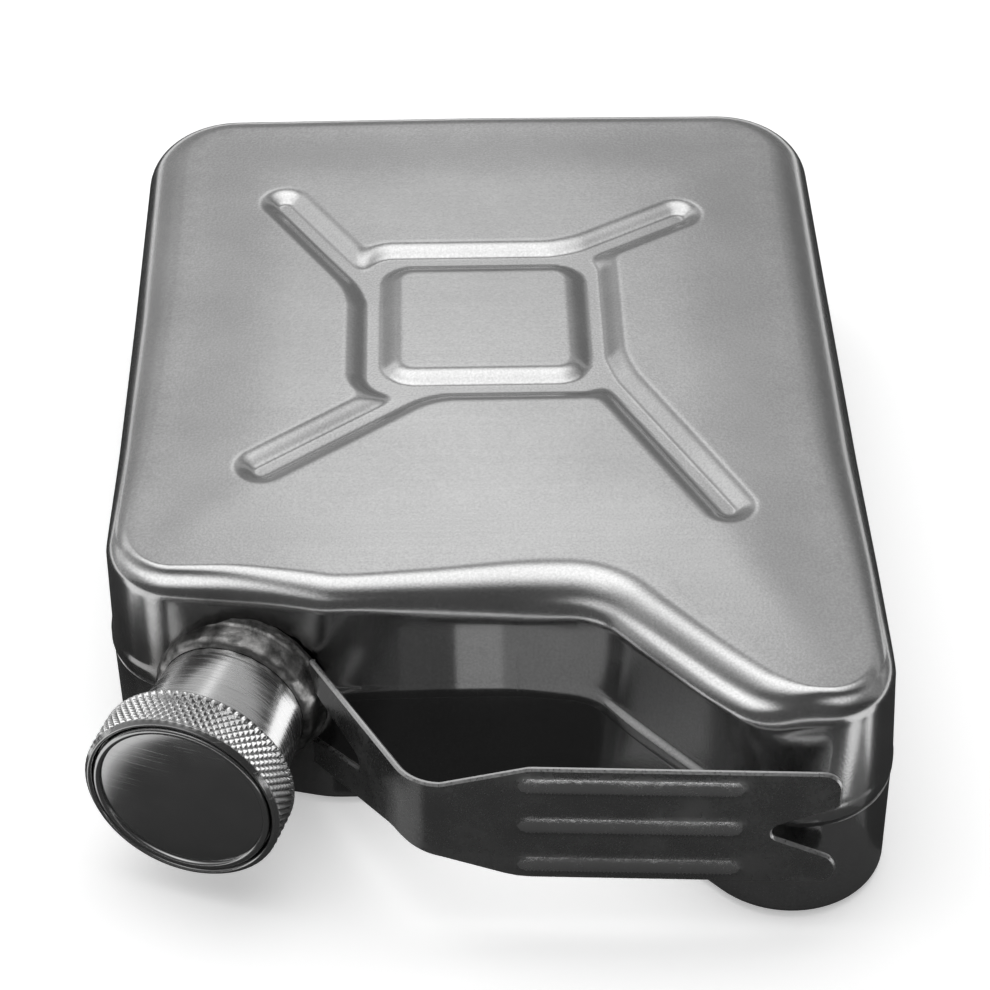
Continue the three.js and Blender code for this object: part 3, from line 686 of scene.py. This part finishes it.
def collarPiece(material):
    angles = np.linspace(0, 2 * pi, collar["segments"], endpoint=False)
    # the wall leans back at its top
    sunk = collar["sunk"] + collar["upperSunk"] * np.maximum(np.sin(angles), 0)

    def wallHeight(radius):
        lowest, highest, halvings = collar["search"]
        low, high = np.full(len(angles), lowest), np.full(len(angles), highest)
        for _ in range(halvings):
            middle = (low + high) / 2
            spots = [neckFoot + neckSide * radius * cos(a) + neckAxis * height
                     for a, height in zip(angles, middle)]
            inside = signedDistance(np.array([(s.x, s.y) for s in spots]), outline) < -sunk
            low, high = np.where(inside, middle, low), np.where(inside, high, middle)
        return low

    inner = neck["radius"] + collar["fit"]
    outer = neck["radius"] + collar["width"]
    tall = collar["height"]
    wobble = np.array([noise.noise(Vector(point)) for point in ringPoints(angles, *collar["wobbleAt"])])
    waves = np.sin(collar["ripples"] * angles + collar["wobbleShift"] * wobble)
    ripple = collar["ripple"] * (waves + collar["wobbleRise"] * wobble)
    foot = wallHeight(outer)
    rings = [(inner + (outer - inner) * across + ripple * rough, tall * up + ripple * rough)
             for across, up, rough in collar["top"]]
    for past, above in collar["flare"]:
        level = np.minimum(foot + above, tall * collar["flareCeiling"])
        rings.append((outer + past + ripple * (1 + past), level + ripple * past))
    rings.append((inner, foot - collar["footSunk"]))
    points = [ringPoints(angles, radius, height) for radius, height in rings]
    faces = ringFaces(len(points), len(angles), closed=True)
    return makePiece("weld_collar", np.vstack(points), faces, [material],
                     "flask", "neck_collar", neckPlace)


# cap: knurled ring, polished disc and rubber seal;
# the ring's foot is listed as steps in from its edge and up, its rim as steps out from its chamfer and up
cap = {"radius": 9.65, "length": 4.7, "gap": 0.3, "chamfer": 0.35, "fit": 0.06,
       "foot": [(0.45, 0), (0.25, 0.06)], "leadIn": (0.12, 0.06), "leadOut": (0.08, 0.04),
       "rim": [(0.03, -0.14), (-0.05, -0.03), (-0.2, 0), (-0.25, -0.02), (-0.37, -0.12)],
       "seatEase": (0.02, 0.5), "teeth": 76, "toothHeight": 0.95, "knurlDepth": 0.34, "steepness": 2.4,
       "knurlFoot": 0.3, "knurlTop": 0.05, "knurlFade": (-0.05, 0.3), "endDrop": 0.05, "perTooth": 8,
       "rowStep": 0.12, "near": 0.01}
disc = {"radius": 8.75, "set": 0.25, "thickness": 0.85, "dome": 0.3, "domeCurve": (3, 0.8), "domeSteps": 19,
        "bead": 0.36, "beadHeight": 0.36, "beadTurn": 0.85 * pi, "beadSteps": 11, "beadSunk": 0.1,
        "fieldSunk": 0.08, "footRound": 0.05, "segments": 144}
capFoot = neck["height"] + cap["gap"]
capEnd = capFoot + cap["length"]
ringBore = threadOutside + thread["clearance"]
discSeat = capEnd - disc["set"] - disc["thickness"]
knurlLow, knurlHigh = capFoot + cap["knurlFoot"], capEnd - cap["chamfer"] - cap["knurlTop"]


def knurlShift(angles, radius, height):
    near = cap["near"]
    if abs(radius - cap["radius"]) > near or not knurlLow - near <= height <= knurlHigh + near:
        return np.zeros(len(angles))
    around = angles * cap["teeth"] / (2 * pi)
    along = height / cap["toothHeight"]
    cuts = [np.abs((around + way * along + 0.5) % 1 - 0.5) for way in (1, -1)]
    raised = np.clip(cap["steepness"] * np.minimum(*cuts), 0, 1)
    ends = float(smoothRise(min(height - knurlLow, knurlHigh - height), *cap["knurlFade"]))
    return -cap["knurlDepth"] * (1 - raised) * ends - cap["endDrop"] * (1 - ends)


def capRingPiece(material, endMaterial):
    edge = cap["radius"]
    rim = edge - cap["chamfer"]
    rows = np.linspace(knurlLow, knurlHigh, ceil((knurlHigh - knurlLow) / cap["rowStep"]))
    leadIn, leadOut, ease = cap["leadIn"], cap["leadOut"], cap["seatEase"]
    profile = [(ringBore, capFoot)] + [(edge - inward, capFoot + up) for inward, up in cap["foot"]]
    profile += [(edge - leadIn[0], knurlLow - leadIn[1])]
    profile += [(edge, row) for row in rows]
    profile += [(edge - leadOut[0], knurlHigh + leadOut[1])]
    profile += [(rim + out, capEnd + up) for out, up in cap["rim"]]
    profile += [(disc["radius"] + ease[0], capEnd - ease[1])]
    profile += [(disc["radius"], discSeat), (ringBore, discSeat)]
    around = cap["teeth"] * cap["perTooth"]
    ring, ringSides = lathe(profile, around, knurlShift)
    finish = [int(height > knurlHigh) for _, height in profile for _ in range(around)]  # the end is polished
    startAngle = pi + (capFoot - neck["height"]) / thread["pitch"] * 2 * pi
    ridge, ridgeFaces = threadRidge(ringBore, threadRoot + thread["clearance"], capFoot,
                                    mouthHeight - cap["fit"], startAngle, len(ring))
    finish += [0] * len(ridgeFaces)
    return makePiece("knurled_ring", np.vstack([ring, ridge]), ringSides + ridgeFaces,
                     [material, endMaterial], "cap", "cap_ring", neckPlace, finish)


def capDiscPiece(material):
    edge = disc["radius"] - cap["fit"]
    foot = discSeat + cap["fit"]
    rim = foot + disc["thickness"]
    bead, field, corner = disc["bead"], edge - 2 * disc["bead"], disc["footRound"]
    power, flatness = disc["domeCurve"]
    rounded = [(edge - bead + bead * cos(a), rim - disc["beadSunk"] + disc["beadHeight"] * sin(a))
               for a in np.linspace(0, disc["beadTurn"], disc["beadSteps"])]
    low, rise = rim - disc["fieldSunk"], disc["dome"] + disc["fieldSunk"]
    dome = [(field * share, low + rise * (1 - share ** power) ** flatness)
            for share in np.linspace(1, 0, disc["domeSteps"])]
    profile = [(0, foot), (edge - corner, foot), (edge, foot + corner)] + rounded + dome
    points, faces = lathe(profile, disc["segments"])
    return makePiece("domed_disc", points, faces, [material], "cap", "cap_disc", neckPlace)


# handle: one strip that leaves the shoulder, bends, and lies along to the nose
strap = {"thickness": 0.62, "lift": 0.65, "gripWidth": 13.9, "bendTop": 4.8, "legLow": 3.3, "gripLow": 4.5,
         "bendRadius": 4.6, "bendAcross": 8.2, "bendAbove": 1.0, "legAngle": radians(61),
         "gripFlare": 8, "gripLowFlare": 7, "gripReach": 3.6, "lowRound": 5, "lowFlareRound": 8,
         "flareRound": 2, "topRound": 1.5, "sharp": 0.05, "arcStep": radians(12), "sideStep": 0.6,
         "forkDepth": 7.5, "forkOpening": 6.6, "forkDrop": 0.5, "forkRound": 1.9,
         "legForkSpan": 13, "legDrop": 1.9, "legForkOpening": 6.2, "legForkDepth": 11,
         "rootSearch": 30, "rootStep": 0.1, "rootSunk": 0.7, "weldGap": 0.3, "midway": 0.45, "edgeRound": 0.2,
         "ribLength": 18.7, "ribWidth": 1.8, "ribHeight": 0.3, "ribSpacing": 5, "ribStart": 10.5,
         "ribSlope": (0.15, 0.75), "ribFace": 0.45, "fine": 0.36, "coarse": 1.2, "fineMargin": 0.5,
         "coarseMargin": 0.4, "edgeMargin": 0.3, "weldSpots": [(3.2, 4.6), (3.0, -5.2)],
         "spotRadius": 1.5, "spotFloor": 0.55, "spotDepth": 0.06}


def strapPiece(faceMaterial, edgeHighlightMaterial, ribSheenMaterial):
    bend = Vector((shoulderEnd.x + strap["bendAcross"], noseEnd + strap["bendAbove"]))
    bendRadius, legHeading = strap["bendRadius"], -strap["legAngle"]
    noseReach = shell["noseRadius"] + strap["weldGap"] + strap["midway"]
    toNose = noseCentre - bend
    gripHeading = atan2(toNose.y, toNose.x) - asin(noseReach / toNose.length)
    gripToNose = sqrt(toNose.length_squared - noseReach ** 2)
    turn = gripHeading - legHeading
    tangent, arc = bendRadius * tan(turn / 2), bendRadius * turn
    bendStart = np.array(bend) - tangent * np.array((cos(legHeading), sin(legHeading)))

    def along(distance):
        # plan point and outward direction at a distance along the strip, from the start of the bend
        heading = legHeading + np.clip(distance / bendRadius, 0, turn)
        facing = np.column_stack([np.sin(heading), -np.cos(heading)])
        legFacing = np.array((sin(legHeading), -cos(legHeading)))
        turned = bendStart + bendRadius * (facing - legFacing)
        straight = np.column_stack([np.cos(heading), np.sin(heading)])
        rest = np.where(distance < 0, distance, np.maximum(distance - arc, 0))
        return turned + straight * rest[:, None], facing

    # the strip's own outline, laid flat: distance along it and height from its middle line
    steps = np.arange(0, -strap["rootSearch"], -strap["rootStep"])
    root = steps[np.argmax(signedDistance(along(steps)[0], outline) < -strap["rootSunk"])]
    legLength = (recessWall - bend.y) / sin(strap["legAngle"])
    share = -root / (legLength - tangent)
    half, legHalf = strap["gripWidth"] / 2, strap["legForkSpan"] / 2
    rootLow = -strap["legLow"] + (strap["legLow"] - strap["legDrop"] - legHalf) * share
    rootHigh = strap["bendTop"] + (legHalf - strap["legDrop"] - strap["bendTop"]) * share
    legNotch = -(legLength - strap["legForkDepth"] - tangent)
    legOpening = strap["legForkOpening"] / 2 * (legNotch - root) / strap["legForkDepth"]
    rootMiddle = (rootLow + rootHigh) / 2
    notchMiddle = strap["legDrop"] * legNotch / (legLength - tangent)
    end = arc - tangent + gripToNose + strap["gripReach"]
    notch, opening, drop = end - strap["forkDepth"], strap["forkOpening"] / 2, strap["forkDrop"]
    sharp, rounding = strap["sharp"], strap["forkRound"]
    lowRound, topRound = strap["lowRound"], strap["topRound"]
    corners = [
        (root, rootLow, sharp), (0, -strap["legLow"], lowRound), (arc, -strap["gripLow"], lowRound),
        (arc + strap["gripLowFlare"], -half, strap["lowFlareRound"]),
        (end, -half, rounding), (end, -drop - opening, rounding), (notch, -drop, rounding / 2),
        (end, -drop + opening, rounding / 2), (end, half, rounding),
        (arc + strap["gripFlare"], half, strap["flareRound"]),
        (arc, strap["bendTop"], topRound), (0, strap["bendTop"], topRound), (root, rootHigh, sharp),
        (root, rootMiddle + legOpening, sharp), (legNotch, notchMiddle, rounding / 2),
        (root, rootMiddle - legOpening, sharp),
    ]
    loop = roundedOutline(corners, 0, strap["arcStep"], strap["sideStep"])
    before, after = np.roll(loop, 1, axis=0), np.roll(loop, -1, axis=0)
    tangents = (after - before) / np.maximum(np.sqrt(((after - before) ** 2).sum(1)), 1e-9)[:, None]
    inset = loop + strap["edgeRound"] * np.column_stack([-tangents[:, 1], tangents[:, 0]])

    ribFrom = arc - tangent + strap["ribStart"]
    ribRows = [row * strap["ribSpacing"] for row in (-1, 0, 1)]
    ribs = [((ribFrom, row), (ribFrom + strap["ribLength"], row)) for row in ribRows]

    def ribDistance(points):
        return np.min([barDistance(points, *line) for line in ribs], axis=0)

    def pressed(points):
        # how far the strip stands out of its plane: ribs outwards, spot welds inwards
        crest, edge = [part * strap["ribWidth"] for part in strap["ribSlope"]]
        height = strap["ribHeight"] * (1 - smoothRise(ribDistance(points), crest, edge))
        radius, floor = strap["spotRadius"], strap["spotFloor"] * strap["spotRadius"]
        for inward, up in strap["weldSpots"]:
            spot = np.sqrt(((points - (end - inward, up)) ** 2).sum(1))
            height -= strap["spotDepth"] * (1 - smoothRise(spot, floor, radius))
        return height

    def detailed(points, extra):
        # where the bend and the ribs need fine points
        reach = strap["fineMargin"] + extra
        bending = (points[:, 0] > -reach) & (points[:, 0] < arc + reach)
        return bending | (ribDistance(points) < strap["ribWidth"] + extra)

    low, high = loop.min(0), loop.max(0)
    fine = staggeredGrid(low, high, strap["fine"])
    coarse = staggeredGrid(low, high, strap["coarse"])
    inside = np.vstack([fine[detailed(fine, 0)], coarse[~detailed(coarse, strap["coarseMargin"])]])
    flat, flatFaces = fillOutline(inset, inside[signedDistance(inside, inset) < -strap["edgeMargin"]])

    def stand(points, out):
        plan, facing = along(points[:, 0])
        place = plan + facing * np.asarray(out).reshape(-1, 1)
        return np.column_stack([place, points[:, 1] + thickness / 2 + strap["lift"]])

    halfThick = strap["thickness"] / 2
    edgeOut = np.full(len(loop), halfThick - strap["edgeRound"])
    outer, inner = [stand(flat, pressed(flat) + out) for out in (halfThick, -halfThick)]
    rims = [stand(inset, pressed(inset) + halfThick), stand(loop, edgeOut), stand(loop, -edgeOut),
            stand(inset, pressed(inset) - halfThick)]
    vertices = np.vstack([outer, inner] + rims)
    faces = flatFaces + [[len(outer) + i for i in reversed(f)] for f in flatFaces]
    sides = ringFaces(len(rims), len(loop), 2 * len(outer))
    # faces on the ribs take the rib finish, whose lighter colour paints a sheen on them
    middles = np.array([flat[f].mean(0) for f in flatFaces])
    onRib = ribDistance(middles) < strap["ribFace"] * strap["ribWidth"]
    # the strip's sides take the edge finish, whose lighter colour paints a highlight along its edges
    finish = [2 * int(on) for on in onRib] + [0] * len(flatFaces) + [1] * len(sides)
    return makePiece("bent_strap", vertices, faces + sides, [faceMaterial, edgeHighlightMaterial, ribSheenMaterial],
                     "flask", "handle_strap", None, finish)


sheetFinish = satinSteel(tuple(neckFoot * mm))
shellPiece("front_shell", frontStations, frontRim, False, sheetFinish)
shellPiece("back_shell", backStations, backRim, True, sheetFinish)
neckPiece(turnedSteel(neckPlace))
collarPiece(weldedSteel())
discFinish = polishedSteel(neckPlace)
capRingPiece(fleckedSteel("knurled_stainless", knurlFinish, neckPlace), discFinish)
capDiscPiece(discFinish)
strapPiece(stripSteel("bright_annealed_strip", stripFinish),
           fleckedSteel("sheared_edge_painted_highlight", edgeHighlightFinish), stripSteel("strip_rib_painted_sheen", ribSheenFinish))
seal = nodes["cap_seal"]
seal.data.materials.clear()
seal.data.materials.append(nitrileRubber())
print("pieces built")


# studio: a white paper floor, a soft box overhead, glows from the ceiling and the far side, and flat cards
# round the flask that only reflections see; the cards are painted reflections, the dark ones painting shade
# and the glowing ones light
studio = {"floor": "#fafafa", "floorGlow": 0.42, "floorReach": 8000, "floorRoughness": 0.95,
          "cardRoughness": 0.9, "left": 0.4, "right": 0.22, "sideFade": 0.6, "front": 0.3, "far": 1.0,
          "depthFade": 0.4}


def floorCard(height, *corners):
    return [(*corner, height) for corner in corners]


def uprightCard(start, end, low, high):
    return [(*start, low), (*end, low), (*end, high), (*start, high)]


# painted reflection cards: colour, glow on the face and on the back, outlines
band = (11.6, 19)  # heights of the three cards in front of the recess's wall
paintedReflectionCards = {
    # painted shade on the floor in front of the flask, which the walls mirror; its left end paints light
    "fading_card": ("#424242", None, {"front": floorCard(
        0.05, (-90, -260), (90, -260), (50, -75), (44, -57.5), (30, -42), (-36, -36), (-41, -45.5),
        (-80, -56), (-90, -80))}),
    # painted shade on the floor round the flask's sides and far end, which the walls and edges mirror
    "dark_card": ("#3a3a3a", None, {
        "left": floorCard(0.05, (-160, -38), (-30, -36.5), (-30, 160), (-160, 160)),
        "right": floorCard(0.05, (30, -46), (44, -57.5), (56, -60), (160, -80), (160, 160), (30, 160)),
        "far": floorCard(0.05, (-28, 30), (28, 30), (60, 140), (-60, 140))}),
    # grey, slate and mid cards paint the lighter streaks that the nose, the left shoulder corner and the
    # slanted wall mirror
    "grey_card": ("#767676", None, {
        "right_corner": floorCard(0.1, (44, -57.5), (50, -75), (66, -75), (56, -60))}),
    "slate_card": ("#4c4c4c", None, {
        "left_corner": floorCard(0.1, (-36, -36.5), (-60, -37), (-60, -53), (-41, -45.5))}),
    "mid_card": ("#c4c4c4", None, {"slant": [
        (2, -57, 0.2), (2, -47, 0.2), (2, -47, 11.6), (2, -44.8, 11.6), (2, -44.8, 16), (2, -57, 16)]}),
    # glowing cards in front of the recess: the black one paints the dark lower half of the recess wall, and
    # the shade, pale and dim ones paint its darker and lighter patches above
    "black_card": ("#242424", (1, 1), {"recess": uprightCard((-16, -46.6), (9, -46.6), 0.2, 11.3)}),
    "shade_card": ("#505050", (1, 1), {"recess": uprightCard((-9, -46), (-3.6, -46), *band)}),
    "pale_card": ("#989898", (1, 1), {"recess": uprightCard((-3.6, -46), (0.8, -46), *band)}),
    "dim_card": ("#7c7c7c", (1, 1), {"recess": uprightCard((0.8, -46), (7.5, -46), *band)}),
    # glowing cards that paint the lighter band on the strap's bend and the bright band along the neck
    "bend_card": ("#7c7c7c", (0.3, 1), {"strap": uprightCard((-14, -55), (-14, -67), 0.2, 12)}),
    "bright_card": ("#ffffff", (1.3, 0.15), {"neck": uprightCard((-16.6, -45), (-16.6, -53), 14.2, 17.4)}),
}
# the front card pales to the left and glows there, painting the light crescent that the disc mirrors
paintedCrescentFade = {"colour": "#ffffff", "glow": 0.4, "from": -46, "to": -54, "slant": -0.4, "middle": -65}
# glows in the room: degrees over the top from the far side, from dark to full and back, then the same across
glows = {"far_wall": {"over": ((23, 42), (54, 45)), "across": ((-0.13, 0.02), (0.15, -0.01)),
                      "spill": 0.25, "strength": 1.15},
         "ceiling": {"over": ((54, 76), (133, 95)), "across": ((-0.85, -0.2), (0.72, 0.05)),
                     "spill": 0.12, "strength": 1.5},
         "left_wall": {"over": ((30, 50), (90, 62)), "across": ((-0.2, -0.45), (-0.95, -0.65)),
                       "spill": 0, "strength": 0.45}}
softBox = {"at": (0, 0.04, 0.6), "target": (0, 0.04, 0), "size": (0.6, 0.36), "radiance": 0.7}  # in metres


def addStage(name, points, material):
    mesh = bpy.data.meshes.new(name)
    mesh.from_pydata([Vector(point) * mm for point in points], [], [tuple(range(len(points)))])
    mesh.materials.append(material)
    sheet = bpy.data.objects.new(name, mesh)
    bpy.context.scene.collection.objects.link(sheet)
    sheet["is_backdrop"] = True
    return sheet


def makeFloor():
    material, add, shader, _ = startMaterial("white_paper", Roughness=studio["floorRoughness"])
    rays = add("LightPath").node.outputs
    seen = add("Math", (rays["Is Camera Ray"], rays["Is Glossy Ray"]), operation="ADD")
    seen = add("Math", (seen, rays["Is Transmission Ray"]), operation="ADD", use_clamp=True)
    glow = add("Math", (seen, studio["floorGlow"]), operation="MULTIPLY")
    setInputs(shader, {"Base Color": linear(studio["floor"]), "Emission Color": linear("#ffffff"),
                       "Emission Strength": glow})
    reach = studio["floorReach"]
    corners = [(x * reach, y * reach, 0) for x, y in ((-1, -1), (1, -1), (1, 1), (-1, 1))]
    addStage("studio_floor", corners, material)


def cardPaper(kind, colour, glow):
    material, add, shader, place = startMaterial(kind, Roughness=studio["cardRoughness"])
    paint = {"Base Color": colour}
    # a glowing card paints light into the reflections, though it is no lamp
    if glow:
        side = add("NewGeometry", output="Backfacing")
        paint = {"Base Color": linear("#000000"), "Emission Color": colour,
                 "Emission Strength": add("MapRange", (side, 0.0, 1.0, *glow))}
    # the front card's left end pales and glows: a painted reflection on the disc
    if kind == "fading_card":
        x, y, _ = add("SeparateXYZ", (place,)).node.outputs
        ahead = add("Math", (y, paintedCrescentFade["middle"] * mm), operation="SUBTRACT")
        sideways = add("Math", (ahead, paintedCrescentFade["slant"], x), operation="MULTIPLY_ADD")
        fadeEnds = paintedCrescentFade["from"] * mm, paintedCrescentFade["to"] * mm
        share = add("MapRange", (sideways, *fadeEnds), interpolation_type="SMOOTHSTEP")
        shades = {"Factor": share, "A": colour, "B": linear(paintedCrescentFade["colour"])}
        faded = add("Mix", shades, "Result", data_type="RGBA")
        paint = {"Base Color": faded, "Emission Color": faded, "Emission Strength": paintedCrescentFade["glow"]}
    setInputs(shader, paint)
    return material


# cards seen only in reflections, which paint shade and light into what the steel mirrors
def makePaintedReflectionCards():
    for kind, (colour, glow, outlines) in paintedReflectionCards.items():
        paper = cardPaper(kind, linear(colour), glow)
        for name, corners in outlines.items():
            sheet = addStage(kind + "_" + name, corners, paper)
            for ray in ("camera", "diffuse", "shadow", "transmission"):
                setattr(sheet, "visible_" + ray, False)


def makeWorld():
    world = bpy.data.worlds.new("studio_room")
    bpy.context.scene.world = world
    world.use_nodes = True
    add = partial(addNode, world.node_tree)
    soft = {"interpolation_type": "SMOOTHSTEP"}
    x, y, z = add("SeparateXYZ", (add("TexCoord", output="Generated"),)).node.outputs
    side, depth = studio["sideFade"], studio["depthFade"]
    sides = add("MapRange", (x, -side, side, studio["left"], studio["right"]), **soft)
    depths = add("MapRange", (y, -depth, depth, studio["front"], studio["far"]), **soft)
    level = add("Math", (sides, depths), operation="MULTIPLY")
    over = add("Math", (add("Math", (z, y), operation="ARCTAN2"),), operation="DEGREES")
    for glow in glows.values():
        share = glow["strength"]
        ways = [(over, *way, 0) for way in glow["over"]]
        ways += [(x, *way, glow["spill"]) for way in glow["across"]]
        for way in ways:
            part = add("MapRange", (*way, 1.0), **soft)
            share = add("Math", (share, part), operation="MULTIPLY")
        level = add("Math", (level, share), operation="ADD")
    setInputs(world.node_tree.nodes["Background"], {"Color": linear("#ffffff"), "Strength": level})


def makeLamp():
    light = bpy.data.lights.new("overhead", "AREA")
    light.shape = "RECTANGLE"
    light.size, light.size_y = softBox["size"]
    light.energy = softBox["radiance"] * pi * light.size * light.size_y
    lamp = bpy.data.objects.new("overhead", light)
    bpy.context.scene.collection.objects.link(lamp)
    lamp.visible_glossy = False  # the glows are what the steel mirrors
    lamp.location = softBox["at"]
    lamp.rotation_euler = (Vector(softBox["target"]) - lamp.location).to_track_quat("-Z", "Y").to_euler()


makeFloor()
makePaintedReflectionCards()
makeWorld()
makeLamp()
print("studio set up")

view = {"at": (-5.172, -261.70, 217.49), "down": 39.465, "yaw": 1.369, "lens": 113.78, "sensor": 36,
        "clip": 10}
lens = bpy.data.cameras.new("photo_view")
lens.lens, lens.sensor_width = view["lens"], view["sensor"]
lens.clip_start = view["clip"] * mm
camera = bpy.data.objects.new("photo_view", lens)
bpy.context.scene.collection.objects.link(camera)
camera.location = Vector(view["at"]) * mm
camera.rotation_euler = (radians(90 - view["down"]), 0, -radians(view["yaw"]))
bpy.context.scene.camera = camera
bpy.context.scene.view_settings.view_transform = "Standard"

newLow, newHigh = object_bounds()
visualSize, cadSize = [[round(v / mm, 2) for v in size] for size in (newHigh - newLow, cadHigh - cadLow)]
print("size in mm:", visualSize, "CAD:", cadSize)
